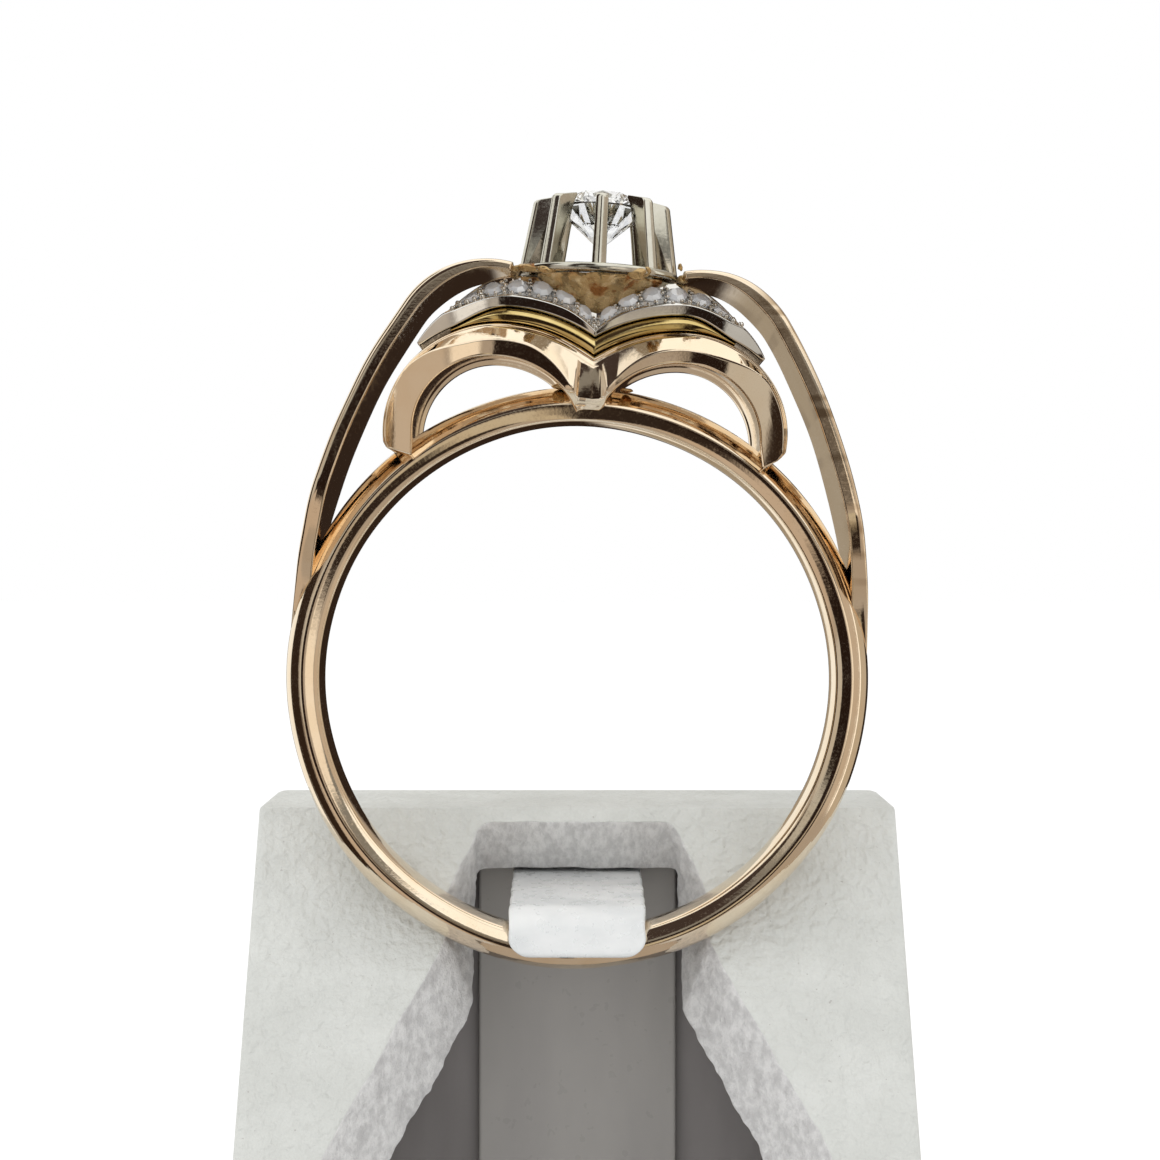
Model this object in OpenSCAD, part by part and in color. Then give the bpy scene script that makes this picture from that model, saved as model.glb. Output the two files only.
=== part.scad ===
// Gemstone ring, upright in the slot of its display stand.
// Millimetres, +Z up. The ring's own frame has its centre at the middle of the
// finger hole, the finger along Y and the head towards +Z. place_ring() rolls that
// frame a little and lifts it into the stand. The origin is the middle of the base.

/* [Finger hole and shank] */
// Inner radius of the shank
bore_r = 8.8; // [8:0.05:9.5]
// Thickness of the shank in the middle
shank_t = 1.35; // [1.2:0.05:1.6]
// Width of the shank along the finger
shank_w = 2.2; // [1.8:0.1:2.6]
// Lean of the ring towards +X, degrees
ring_roll = 3; // [0:0.5:5]

/* [Shoulder straps] */
// Outer radius of a strap's long arc
strap_long_r = 22; // [21.5:0.1:22.5]
// Outer radius of a strap's bend over the head
strap_bend_r = 3.5; // [3.4:0.05:3.6]
// Thickness of a strap
strap_t = 0.6; // [0.5:0.05:0.65]
// Thickness of a strap at its end over the head
strap_end_t = 0.33; // [0.3:0.02:0.4]
// Width of a strap at the head
strap_w = 4.4; // [3.6:0.1:4.6]

/* [Head tiers] */
// Distance from the middle to the crest of each arch
crest_x = 3.1; // [3:0.05:3.2]
// Height of the rose gold wave's crest above the ring centre
wave_top = 12.1; // [12:0.05:12.2]
// Thickness of the rose gold wave over its crest
wave_t = 1.1; // [1:0.05:1.2]
// Thickness of the yellow gold arch
arch_t = 0.5; // [0.4:0.05:0.55]
// Greatest thickness of the white gold wings
wing_t = 1.3; // [1.2:0.02:1.32]
// Half depth of the wave at the middle
wave_half_depth = 1.9; // [1.7:0.05:2]
// Solder gap between pieces of different gold
gap = 0.03; // [0.02:0.01:0.04]

/* [Collet and stones] */
// Radius of the collet's base
collet_base_r = 2.85; // [2.7:0.05:2.88]
// Radius of the collet's top
collet_top_r = 2.38; // [2.2:0.02:2.5]
// Radius of the centre stone
centre_r = 1.6; // [1.5:0.02:1.65]
// Radius of a wing stone
small_r = 0.38; // [0.3:0.01:0.39]
// Spacing of the wing stones
small_pitch = 0.87; // [0.85:0.01:0.9]

/* [Display stand] */
// Width of the stand
stand_w = 23; // [22:0.5:26]
// Height of the ring's centre above the floor
ring_z = 26; // [25:0.5:28]
// Slope of the front panel, degrees from the floor
panel_slope = 60; // [58:1:62]
// Thickness of the front panel
panel_t = 2.4; // [2.2:0.1:2.6]
// Thickness of the other walls
wall_t = 2; // [1.5:0.1:2.2]
// Width of the clip's tongue
tongue_w = 4.7; // [4.4:0.1:5]
// Thickness of the clip's plastic
clip_t = 0.5; // [0.4:0.05:0.6]

/* [Hidden] */
QUADRANTS = [0 : 3];
stones_a_row = 6;
small_names = [for (q = QUADRANTS, i = [1 : stones_a_row]) str("wing_diamond_", q * stones_a_row + i)];
$fn = 96;

rose = [0.86, 0.62, 0.47];
yellow = [0.87, 0.72, 0.36];
white_gold = [0.78, 0.78, 0.76];
diamond = [0.92, 0.95, 0.98];
card_white = [0.9, 0.9, 0.89];
frost = [0.93, 0.94, 0.94];

shank_r = bore_r + shank_t;
// Radii of the shank's rounded outside and of its softly rounded inside
shank_crown_r = 1.25;
shank_comfort_r = 3;

// A strap's long arc is tangent to the shank low on its side and ends where its bend begins
strap_start = [10.08, 1.2];
strap_start_angle = 1;
strap_root_angle = -2;
strap_bend_angle = 32.5;
strap_end_angle = 103;
// The strap thins between these angles of its bend
strap_thin = [45, 98];
// A strap's clearance cut runs past its end by this angle
clear_turn = 3;
long_c = strap_start - strap_long_r * [cos(strap_start_angle), sin(strap_start_angle)];
bend_c = long_c + (strap_long_r - strap_bend_r) * [cos(strap_bend_angle), sin(strap_bend_angle)];

// Each tier follows two tangent arcs that meet at its crest: one rises from the middle,
// the tighter one comes down at the side. All the tiers share the arcs' two centres.
// The ring is made by hand: the left side falls a little wider than the right one.
rise_out_r = 5.25;
function fall_out_r(side) = side < 0 ? 3.85 : 3.55;
rise_c = [crest_x, wave_top - rise_out_r];
function fall_c(side) = [crest_x, wave_top - fall_out_r(side)];
arch_end_angle = 62;
wing_end_angle = 45;
// The wave's underside is a round arch of two arcs too: its crest, then the rising and the falling radius
function wave_arch(side) = side < 0 ? [3.4, wave_top - wave_t - 0.08, 3.3, 2.6] : [crest_x, wave_top - wave_t, 3.2, 2.65];
wave_fall_angle = -8;
// Two corners of each tip, which ends on the shank, as the foot does
function wave_tip(side) = side < 0 ? [[6.8, 7.52], [5.98, 7.36]] : [[6.4, 7.8], [5.9, 7.5]];
wave_foot_z = 9.3;
wave_foot_x = 0.4;
arch_from = gap;

// Smooth step from 0 at low to 1 at high
function ease(low, high, x) = let (t = max(0, min(1, (x - low) / (high - low)))) t * t * (3 - 2 * t);

// Thicknesses along a tier, where u runs from 0 in the middle over the crest at 1 to the wing's end at 2.
// The arch thins to nothing down the side; a wing is thin in the middle and at its end, as a leaf is.
function arch_thick(u) = arch_t * (1 - 0.85 * ease(0.95, 1 + (90 - arch_end_angle) / (90 - wing_end_angle), u));
function wing_from(u) = arch_from + arch_thick(u) + gap;
function swell(u) = sin(90 * min(1, max(0, u) / 0.42));
function wing_thick(u) = (wing_t * (0.44 + 0.56 * swell(u)) - 0.18 * ease(0.6, 1, u)) * (1 - 0.85 * pow(max(0, u - 1), 1.3));

// From above, a tier's front edge is straight over both crests, then flares along a circle at each side
flare_r = 4.5;
flare_from = 3.3;
flare_y = flare_r + wave_half_depth;
arch_setback = 0.35;
wing_setback = 0.15;

// Cross-section of a wing, from its front rim inwards: the rim's height, then the bed of stones
rim_step = [0.1, 0.08];
function rim_h(u) = min(0.42 * (0.5 + 0.5 * swell(u)) + 0.1 * ease(1, 1.6, u), 0.93 * wing_thick(u) - 0.04);
function bed_from(u) = rim_h(u) + min(rim_step[1], (wing_thick(u) - rim_h(u)) / 2);
function bed_in(u) = 0.78 + 0.2 * ease(1.1, 1.5, u);
rise_steps = 14;
fall_steps = 10;

neck_r = 0.55;
neck_z = [11.75, 13.2];
collet_z = 13.92;
seat_top = [2.4, collet_z - gap];
base_ring_h = 0.25;
base_ring_in_r = 2.0;
prong_w = 0.5;
prongs = 8;
prong_top_z = 16.6;
girdle_z = 16.42;
fin_inset = 0.05;

base_to_ring = 9.2;
panel_run = 1 / tan(panel_slope);
lift_below = ring_z - base_to_ring;
front_reach = lift_below * panel_run;
back_reach = 8;
ring_y = (front_reach - back_reach) / 2;
top_front_y = 2.4;
top_z = ring_z - 4.65;
corner_cut = 0.3;
// Small overlap that joins two outlines
seam = 0.005;

module place_ring() {
    translate([0, ring_y, ring_z]) rotate([0, ring_roll, 0]) children();
}

// The same piece on the right and mirrored on the left
module both_sides() {
    children();
    mirror([1, 0, 0]) children();
}

module shank_ring() {
    rotate([90, 0, 0]) rotate_extrude() intersection() {
        translate([shank_r - shank_crown_r, 0]) circle(r = shank_crown_r);
        translate([bore_r + shank_comfort_r, 0]) circle(r = shank_comfort_r);
        translate([bore_r, -shank_w / 2]) square([shank_t, shank_w]);
    }
}

// Points along an arc, and an outline mirrored in the middle
function arc_points(c, r, from, to, steps) = [for (i = [0 : steps])
    let (turn = from + (to - from) * i / steps) c + r * [cos(turn), sin(turn)]];
function backwards(points) = [for (i = [len(points) - 1 : -1 : 0]) points[i]];
function mirrored(points) = [for (p = points) [-p[0], p[1]]];

// An outline in the plane of the shank, carried along the finger
module along_finger(depth) {
    rotate([90, 0, 0]) linear_extrude(height = depth, center = true) children();
}

// Outline of a strap: out over its outer side and back along the inner one
module strap_outline(grow) {
    last = strap_end_angle + (grow > 0 ? clear_turn : 0);
    steps = 12;
    outer = concat(
        arc_points(long_c, strap_long_r + grow, strap_root_angle, strap_bend_angle, 18),
        arc_points(bend_c, strap_bend_r + grow, strap_bend_angle + 6, last, steps));
    inner = concat(
        arc_points(long_c, strap_long_r - strap_t - grow, strap_root_angle, strap_bend_angle, 18),
        [for (i = [0 : steps])
            let (turn = strap_bend_angle + 6 + (last - strap_bend_angle - 6) * i / steps,
                 thick = strap_t + (strap_end_t - strap_t) * ease(strap_thin[0], strap_thin[1], turn))
            bend_c + (strap_bend_r - thick - grow) * [cos(turn), sin(turn)]]);
    polygon(concat(outer, backwards(inner)));
}

// A strap narrows towards the shank, seen from the side
module strap(grow = 0) {
    low = shank_w / 2 + grow;
    high = strap_w / 2 + grow;
    intersection() {
        along_finger(strap_w + 2 * grow) strap_outline(grow);
        rotate([90, 0, 90]) linear_extrude(height = 2 * shank_r)
            polygon([[-low, -1], [low, -1], [low, 1], [high, 8], [high, 16], [-high, 16], [-high, 8], [-low, 1]]);
    }
}

// A point of one half, n above the wave's upper edge, on the rising arc (u from 0 to 1) or the falling one
function tier_point(side, u, n) =
    let (rise_r = rise_out_r + n, fall_r = fall_out_r(side) + n,
         back = asin(crest_x / rise_r) * (1 - u), down = (90 - wing_end_angle) * (u - 1))
    u <= 1 ? rise_c + rise_r * [-sin(back), cos(back)] : fall_c(side) + fall_r * [sin(down), cos(down)];

// Steps of u from the middle to an angle on the falling arc
function tier_steps(end_angle, rising, falling) =
    let (last = (90 - end_angle) / (90 - wing_end_angle))
    concat([for (i = [0 : rising]) i / rising], [for (i = [1 : falling]) 1 + last * i / falling]);

// Joins an upper and a lower edge of the right half to those of the left half
module tier_outline(upper, lower, left_upper, left_lower) {
    polygon(concat(mirrored(backwards(left_upper)), [for (i = [1 : len(upper) - 1]) upper[i]],
                   backwards(lower), mirrored([for (i = [1 : len(left_lower) - 1]) left_lower[i]])));
}

// Cuts the front and the back of a tier along the flared edge
module flare(setback) {
    straight = wave_half_depth - setback;
    difference() {
        along_finger(12) children();
        for (side = [-1, 1]) {
            for (end = [-1, 1])
                translate([end * flare_from, side * flare_y, 0])
                    cylinder(r = flare_r + setback, h = 2 * shank_r, $fn = 192);
            translate([-flare_from, side > 0 ? straight : -flare_y, 0])
                cube([2 * flare_from, flare_y - straight, 2 * shank_r]);
        }
    }
}

function wave_upper(side) =
    concat([for (u = tier_steps(wave_fall_angle, 10, 13)) tier_point(side, u, 0)], [wave_tip(side)[0]]);

// The underside's rising arc starts above the foot, on the shank
function wave_lower(side) =
    let (arch = wave_arch(side), rise = [arch[0], arch[1] - arch[2]], fall = [arch[0], arch[1] - arch[3]])
    concat([[0, wave_foot_z], [wave_foot_x, wave_foot_z]], arc_points(rise, arch[2], 90 + asin((arch[0] - 0.5) / arch[2]), 90, 12),
           arc_points(fall, arch[3], 90 - 7.5, 0, 11), [wave_tip(side)[1]]);

module wave_outline() {
    tier_outline(wave_upper(1), wave_lower(1), wave_upper(-1), wave_lower(-1));
}

function arch_edge(side, share) =
    [for (u = tier_steps(arch_end_angle, 10, 8)) tier_point(side, u, arch_from + share * arch_thick(u))];

// Rose gold: the shank, both shoulder straps and the wave, soldered into one
module ring_frame() {
    color(rose) place_ring() {
        shank_ring();
        both_sides() strap();
        flare(0) wave_outline();
    }
}

// Yellow gold: the thin arch and the cone that carries the collet
module gallery() {
    color(yellow) place_ring() {
        flare(arch_setback)
            tier_outline(arch_edge(1, 1), arch_edge(1, 0), arch_edge(-1, 1), arch_edge(-1, 0));
        seat_cone(0);
    }
}

module seat_cone(grow) {
    translate([0, 0, neck_z[0]]) cylinder(r = neck_r + grow, h = neck_z[1] - neck_z[0]);
    translate([0, 0, neck_z[1]])
        cylinder(r1 = neck_r + grow, r2 = seat_top[0] + grow, h = seat_top[1] - neck_z[1]);
}

// Half depth of a wing's rim at a distance x from the middle
function rim_depth(x) = flare_y - sqrt(pow(flare_r + wing_setback, 2) - pow(max(0, abs(x) - flare_from), 2));

// Closed section: setback from the rim, height above the wing's underside and the side, front first
function wing_section(u) = let (top = wing_thick(u)) [
    [0, 0, -1], [0, rim_h(u), -1], [rim_step[0], bed_from(u), -1], [bed_in(u), top, -1],
    [bed_in(u), top, 1], [rim_step[0], bed_from(u), 1], [0, rim_h(u), 1], [0, 0, 1]];

// A point of a wing on one half: p is a point of its section
function wing_point(side, u, p) = let (xz = tier_point(side, u, wing_from(u) + p[1]))
    [side * xz[0], p[2] * (rim_depth(xz[0]) - p[0]), xz[1]];

module wing_plate() {
    right = tier_steps(wing_end_angle, rise_steps, fall_steps);
    sections = concat([for (i = [len(right) - 1 : -1 : 1]) [for (p = wing_section(right[i])) wing_point(-1, right[i], p)]],
                      [for (u = right) [for (p = wing_section(u)) wing_point(1, u, p)]]);
    corners = len(sections[0]);
    last = len(sections) - 1;
    polyhedron(
        points = [for (s = sections, p = s) p],
        faces = concat(
            [[for (j = [corners - 1 : -1 : 0]) j]],
            [[for (j = [0 : corners - 1]) last * corners + j]],
            [for (i = [0 : last - 1], j = [0 : corners - 1], half = [0, 1])
                let (a = i * corners + j, b = i * corners + (j + 1) % corners)
                half == 0 ? [a, b, a + corners] : [b, b + corners, a + corners]]));
}

first_small = 0.56;
// Each stone's girdle lies this far below the bed, in a bored seat
stone_sink = 0.07;
seat_depth = 0.5;

// A point across the bed of stones, w from 0 at its outer edge to 1 at its inner one
function bed_point(side, u, w) = wing_point(side, u,
    [rim_step[0] + (bed_in(u) - rim_step[0]) * w, bed_from(u) + (wing_thick(u) - bed_from(u)) * w, -1]);

// Length along the middle of the bed up to each u, to space the stones evenly
function run_of(parts, i) = i < 0 ? 0 : parts[i] + run_of(parts, i - 1);
function bed_table(side, steps = 60) =
    let (line = [for (i = [0 : steps]) bed_point(side, 2 * i / steps, 0.5)],
         parts = [for (i = [0 : steps]) i == 0 ? 0 : norm(line[i] - line[i - 1])])
    [for (i = [0 : steps]) [run_of(parts, i), 2 * i / steps]];
LEFT_TABLE = bed_table(-1);
RIGHT_TABLE = bed_table(1);

function unit(v) = v / norm(v);

// Puts a stone's own +Z along the bed's outward normal; quadrants run right front, left front, then behind
module on_bed(quadrant, i) {
    side = quadrant % 2 == 0 ? 1 : -1;
    u = lookup(first_small + small_pitch * i, side > 0 ? RIGHT_TABLE : LEFT_TABLE);
    middle = bed_point(side, u, 0.5);
    along = unit(side * (bed_point(side, u + 0.02, 0.5) - bed_point(side, u - 0.02, 0.5)));
    across = bed_point(side, u, 0.9) - bed_point(side, u, 0.1);
    out = unit(cross(along, across));
    inwards = cross(out, along);
    mirror([0, quadrant > 1 ? 1 : 0, 0])
        multmatrix([for (k = [0 : 2]) [along[k], inwards[k], out[k], middle[k]]]) children();
}

// White gold: the two wings under the collet, drilled for their stones
module wings() {
    color(white_gold) place_ring() difference() {
        wing_plate();
        both_sides() strap(gap);
        seat_cone(gap);
        for (q = QUADRANTS, i = [0 : stones_a_row - 1])
            on_bed(q, i) translate([0, 0, -seat_depth]) cylinder(r = small_r + gap, h = 1, $fn = 24);
    }
}

// Points of a ring of n corners
function corner_ring(n, r, z, turn = 0) = [for (k = [0 : n - 1]) [r * cos(turn + 360 * k / n), r * sin(turn + 360 * k / n), z]];

// Single cut: octagonal table, eight crown facets, a thin girdle and eight pavilion facets
module single_cut(r) {
    table = 0.6 * r;
    crown = 0.3 * r;
    girdle = 0.08 * r;
    pavilion = 0.75 * r;
    polyhedron(
        points = concat(corner_ring(8, table, crown), corner_ring(8, r, 0),
                        corner_ring(8, r, -girdle), [[0, 0, -girdle - pavilion]]),
        faces = concat(
            [[for (k = [7 : -1 : 0]) k]],
            [for (ring = [0, 8], k = [0 : 7]) let (m = (k + 1) % 8) [ring + k, ring + m, ring + 8 + m]],
            [for (ring = [0, 8], k = [0 : 7]) let (m = (k + 1) % 8) [ring + k, ring + 8 + m, ring + 8 + k]],
            [for (k = [0 : 7]) [16 + k, 16 + (k + 1) % 8, 24]]));
}

// Round brilliant: table, 8 stars, 8 kites, 16 upper halves, girdle, 16 lower halves and 8 mains
module round_brilliant(r) {
    crown = 0.32 * r;
    girdle = 0.04 * r;
    pavilion = 0.86 * r;
    points = concat(
        corner_ring(8, 0.54 * r, crown),
        corner_ring(8, 0.78 * r, 0.56 * crown, 22.5),
        corner_ring(16, r, 0),
        corner_ring(16, r, -girdle),
        corner_ring(8, 0.24 * r, -girdle - 0.77 * pavilion, 22.5),
        [[0, 0, -girdle - pavilion]]);
    polyhedron(points = points, faces = concat(
        [[for (k = [7 : -1 : 0]) k]],
        [for (k = [0 : 7]) [k, (k + 1) % 8, 8 + k]],
        [for (k = [0 : 7]) [k, 8 + k, 16 + 2 * k]],
        [for (k = [0 : 7]) [k, 16 + 2 * k, 8 + (k + 7) % 8]],
        [for (k = [0 : 7]) [8 + k, 17 + 2 * k, 16 + 2 * k]],
        [for (k = [0 : 7]) [8 + k, 16 + (2 * k + 2) % 16, 17 + 2 * k]],
        [for (k = [0 : 15]) let (m = (k + 1) % 16) [16 + k, 16 + m, 32 + m]],
        [for (k = [0 : 15]) let (m = (k + 1) % 16) [16 + k, 32 + m, 32 + k]],
        [for (k = [0 : 7]) [32 + 2 * k, 33 + 2 * k, 48 + k]],
        [for (k = [0 : 7]) [33 + 2 * k, 32 + (2 * k + 2) % 16, 48 + k]],
        [for (k = [0 : 7]) [32 + 2 * k, 48 + k, 56]],
        [for (k = [0 : 7]) [32 + 2 * k, 56, 48 + (k + 7) % 8]]));
}

module wing_diamond(quadrant, i) {
    color(diamond) place_ring() on_bed(quadrant, i)
        translate([0, 0, -stone_sink]) single_cut(small_r);
}

module centre_diamond() {
    color(diamond) place_ring() translate([0, 0, girdle_z]) round_brilliant(centre_r);
}

// One fin of the collet, [radius, height]: its tip leans over the stone's crown
function fin_outline() =
    let (tip_r = centre_r - 0.2, crown_z = girdle_z + 0.22)
    [[collet_base_r - fin_inset, collet_z], [collet_top_r, prong_top_z],
     [tip_r + 0.3, prong_top_z + 0.12], [tip_r + 0.04, crown_z + 0.14], [tip_r, crown_z + 0.02],
     [centre_r + gap, girdle_z + 0.06], [centre_r + gap, girdle_z - 0.3], [base_ring_in_r + fin_inset, collet_z]];

// White gold coronet: a base ring and eight fins that hold the centre stone
module collet() {
    color(white_gold) place_ring() {
        translate([0, 0, collet_z]) rotate_extrude()
            translate([base_ring_in_r, 0]) square([collet_base_r - base_ring_in_r, base_ring_h]);
        for (k = [0 : prongs - 1]) rotate([0, 0, k * 360 / prongs])
            rotate([90, 0, 0]) linear_extrude(height = prong_w, center = true) polygon(fin_outline());
    }
}

// Side outline of the stand, [y from the ring's plane, height], shrunk by the walls when hollow
function stand_side(front, other) = let (low = other > 0 ? -1 : 0)
    [[(low - lift_below) * panel_run + front, low],
     [(top_z - other - 0.35 - lift_below) * panel_run + front, top_z - other - 0.35],
     [top_front_y + 0.45 + front * 0.4, top_z - other],
     [back_reach - other - corner_cut, top_z - other],
     [back_reach - other, top_z - other - corner_cut],
     [back_reach - other, low]];

module stand_block(width, front, other) {
    rotate([90, 0, 90]) linear_extrude(height = width, center = true) polygon(stand_side(front, other));
}

// Slot in the front panel, height measured from the ring's centre; it opens as a wedge towards the floor
SLOT_FRONT = [[3.4, -5.27], [4.6, -7.64], [4.6, -9.27], [8.6, -15.9], [8.9, -18.5], [8.9, -40]];
SLOT_BACK = [[3.65, -7.14], [3.78, -9.4], [3.7, -11.84], [6.45, -16.5], [6.9, -18.5], [6.9, -40]];

// A point of the slot's edge, at a depth behind the panel's front face
function on_panel(side, xz, deep) = [side * xz[0], (base_to_ring + xz[1]) * panel_run + deep, ring_z + xz[1]];

// Wedge-sided cutter that joins the slot's front outline to the narrower one at the back
module slot_cutter() {
    count = len(SLOT_FRONT);
    front = concat([for (p = SLOT_FRONT) on_panel(1, p, -0.3)],
                   [for (k = [count - 1 : -1 : 0]) on_panel(-1, SLOT_FRONT[k], -0.3)]);
    back_deep = panel_t / sin(panel_slope) + 0.3;
    back = concat([for (p = SLOT_BACK) on_panel(1, p, back_deep)],
                  [for (k = [count - 1 : -1 : 0]) on_panel(-1, SLOT_BACK[k], back_deep)]);
    around = 2 * count;
    polyhedron(
        points = concat(front, back),
        faces = concat(
            [[for (k = [0 : around - 1]) k]],
            [[for (k = [around - 1 : -1 : 0]) around + k]],
            [for (k = [0 : around - 1], half = [0, 1])
                let (m = (k + 1) % around)
                half == 0 ? [m, k, around + k] : [around + m, m, around + k]]));
}

// Moulded wedge, hollow and open below, with the ring's groove cut across its slot
module stand() {
    color(card_white) translate([0, ring_y, 0]) difference() {
        stand_block(stand_w, 0, 0);
        stand_block(stand_w - 2 * wall_t, panel_t / sin(panel_slope), wall_t);
        slot_cutter();
        translate([0, 0, ring_z]) rotate([90, 0, 0])
            cylinder(r = shank_r + gap, h = shank_w + 2 * gap, center = true);
    }
}

// Clear plastic clip: a strip down the back wall and a tongue that hooks over the shank
module clip() {
    strip_y = back_reach - wall_t - gap;
    strip_top = top_z - wall_t - corner_cut - gap;
    hook_y = -shank_w / 2 - 2 * gap;
    // The flat tongue rests on the round bore at its two edges
    tongue_low = ring_z - sqrt(pow(bore_r, 2) - pow(tongue_w / 2, 2)) + 2 * gap;
    tongue_rise = 0.85;
    strip_w = 7.36;
    strip_lift = 1;
    curl_drop = 1.15;
    color(frost) translate([0, ring_y, 0]) {
        translate([-strip_w / 2, strip_y - clip_t, strip_lift]) cube([strip_w, clip_t, strip_top - strip_lift]);
        rotate([90, 0, 90]) linear_extrude(height = tongue_w, center = true) {
            polygon([[strip_y - clip_t / 2, tongue_low + tongue_rise],
                     [strip_y - clip_t / 2, tongue_low + tongue_rise + clip_t],
                     [hook_y, tongue_low + clip_t], [hook_y, tongue_low]]);
            translate([hook_y, tongue_low]) intersection() {
                circle(r = clip_t);
                translate([-clip_t, 0]) square(clip_t);
            }
            translate([hook_y - clip_t, tongue_low - curl_drop]) square([clip_t, curl_drop + seam]);
        }
    }
}

ring_frame();
gallery();
wings();
collet();
centre_diamond();
for (q = QUADRANTS, i = [0 : stones_a_row - 1])
    wing_diamond(q, i);
stand();
clip();
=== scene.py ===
"""Looks of the gemstone ring, upright in the slot of its display stand."""
import math

import bmesh
import bpy
import numpy as np
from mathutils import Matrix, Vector


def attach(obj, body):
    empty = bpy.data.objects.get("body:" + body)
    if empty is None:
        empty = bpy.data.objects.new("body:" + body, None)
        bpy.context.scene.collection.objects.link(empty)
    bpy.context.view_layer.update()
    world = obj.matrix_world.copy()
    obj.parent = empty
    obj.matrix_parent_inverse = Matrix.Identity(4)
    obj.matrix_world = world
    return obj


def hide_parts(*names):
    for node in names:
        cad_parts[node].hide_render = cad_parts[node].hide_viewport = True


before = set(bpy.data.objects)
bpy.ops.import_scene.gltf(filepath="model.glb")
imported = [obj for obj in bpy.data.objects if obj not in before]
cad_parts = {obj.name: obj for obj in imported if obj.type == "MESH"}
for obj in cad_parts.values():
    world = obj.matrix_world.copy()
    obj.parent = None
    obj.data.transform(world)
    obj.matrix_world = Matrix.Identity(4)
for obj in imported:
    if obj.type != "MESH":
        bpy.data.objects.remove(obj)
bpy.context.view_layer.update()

# ---- Sizes, in millimetres, as the solids have them ----
MM = 0.001
ROLL = math.radians(3)
RING_Y, RING_Z = 0.85, 26.0
BORE_R, SHANK_T, SHANK_W = 8.8, 1.35, 2.2
CROWN_R, COMFORT_R = 1.25, 3.0
STRAP_R, BEND_R, BEND_ANGLE, STRAP_END_ANGLE = 22.0, 3.5, 32.5, 103
STRAP_T, STRAP_END_T, STRAP_W, STRAP_TAIL = 0.6, 0.33, 4.4, 0.35
LONG_C, BEND_C = (-11.917, 0.816), (3.686, 10.756)
CREST_X, WAVE_TOP = 3.1, 12.1
RISE_C, RISE_R = (3.1, 6.85), 5.25
FLARE_R, FLARE_FROM, FLARE_REACH, HALF_DEPTH = 4.5, 3.3, 4.4, 1.9
# A setback of MIDDLE reaches the middle plane; it counts as DEEPEST, and at least THINNEST of depth is left
MIDDLE, DEEPEST, THINNEST = 9.0, 5, 0.02
FOOT_Z, ARCH_LAST = 9.3, 1 + 28 / 45
GAP, ARCH_T, WING_T, WING_BACK = 0.03, 0.5, 1.3, 0.15
SMALL_FIRST, SMALL_PITCH, STONES_A_ROW = 0.56, 0.87, 6
COLLET_Z, COLLET_R, STONE_R, FINS_ROUND = 13.92, 2.8, 1.6, 8
STAND_W, STAND_TOP, LIFT = 23.0, 21.35, 16.8
PANEL_SLOPE, PANEL_T, WALL, BACK_Y = math.radians(60), 2.4, 2.0, 8.0
PANEL_RUN, PANEL_DEEP = 1 / math.tan(PANEL_SLOPE), PANEL_T / math.sin(PANEL_SLOPE)
TONGUE_HALF, STRIP_HALF = 2.35, 3.68
CAMERA_AWAY, SEEN_WIDTH, SENSOR = 80, 40.56, 36


# ---- Shapes ----
def in_row(points):
    """Ring-frame millimetres to the part's metres: leaned by ROLL about the finger, then lifted into the
    stand."""
    x, y, z = np.moveaxis(np.asarray(points, float), -1, 0)
    c, s = math.cos(ROLL), math.sin(ROLL)
    return np.stack([x * c + z * s, y + RING_Y, z * c - x * s + RING_Z], -1) * MM


def on_stand(points):
    """Stand millimetres to the part's metres: only set back by RING_Y."""
    return (np.asarray(points, float) + (0, RING_Y, 0)) * MM


def arc(centre, radius, degrees):
    """Points of an arc in its plane: the centre plus the radius times the angle's cosine and sine."""
    turn = np.radians(degrees)
    x, y = centre[0] + radius * np.cos(turn), centre[1] + radius * np.sin(turn)
    return np.stack(np.broadcast_arrays(x, y), -1)


def ease(low, high, x):
    """Smooth step: 0 below low, 1 above high, three squares less two cubes between."""
    t = np.clip((np.asarray(x, float) - low) / (high - low), 0, 1)
    return t * t * (3 - 2 * t)


def ripple(points, size, seed, waves=14):
    """Soft random relief of about -1 to 1: a sum of plane waves of about the given size, at seeded
    directions."""
    rng = np.random.default_rng(seed)
    aim = rng.normal(size=(waves, 3))
    aim *= (2 * np.pi / (size * rng.uniform(0.6, 1.6, waves)) / np.linalg.norm(aim, axis=1))[:, None]
    phase = rng.uniform(0, 2 * np.pi, waves)
    return np.sin(np.asarray(points) @ aim.T + phase).sum(-1) / math.sqrt(waves)


def rounded(corners, cut, steps=5, closed=True):
    """A line through corners on the first axis; each is swapped for a quadratic curve from cut before it to
    cut after it, (1-t)(1-t) start + 2t(1-t) corner + t t end, with one more point a little further out at
    each side."""
    corners = np.asarray(corners, float)
    before, after = np.roll(corners, 1, 0) - corners, np.roll(corners, -1, 0) - corners
    cut = np.broadcast_to(np.asarray(cut, float), len(corners)).reshape((-1,) + (1,) * (corners.ndim - 1))
    arms = []
    for way in (before, after):
        length = np.maximum(np.linalg.norm(way, axis=-1, keepdims=True), 1e-9)
        arms.append((way / length, np.minimum(cut, 0.42 * length)))
    (u, a), (w, b) = arms
    t = np.linspace(0, 1, steps).reshape((1, -1) + (1,) * (corners.ndim - 1))
    start, end, mid = (corners + u * a)[:, None], (corners + w * b)[:, None], corners[:, None]
    curve = (1 - t) ** 2 * start + 2 * t * (1 - t) * mid + t * t * end
    line = np.concatenate([(corners + u * a * 1.15)[:, None], curve, (corners + w * b * 1.15)[:, None]], 1)
    line = line.reshape((-1,) + corners.shape[1:])
    if closed:
        return line
    each = steps + 2
    return np.concatenate([corners[:1], line[each:-each], corners[-1:]])


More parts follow.
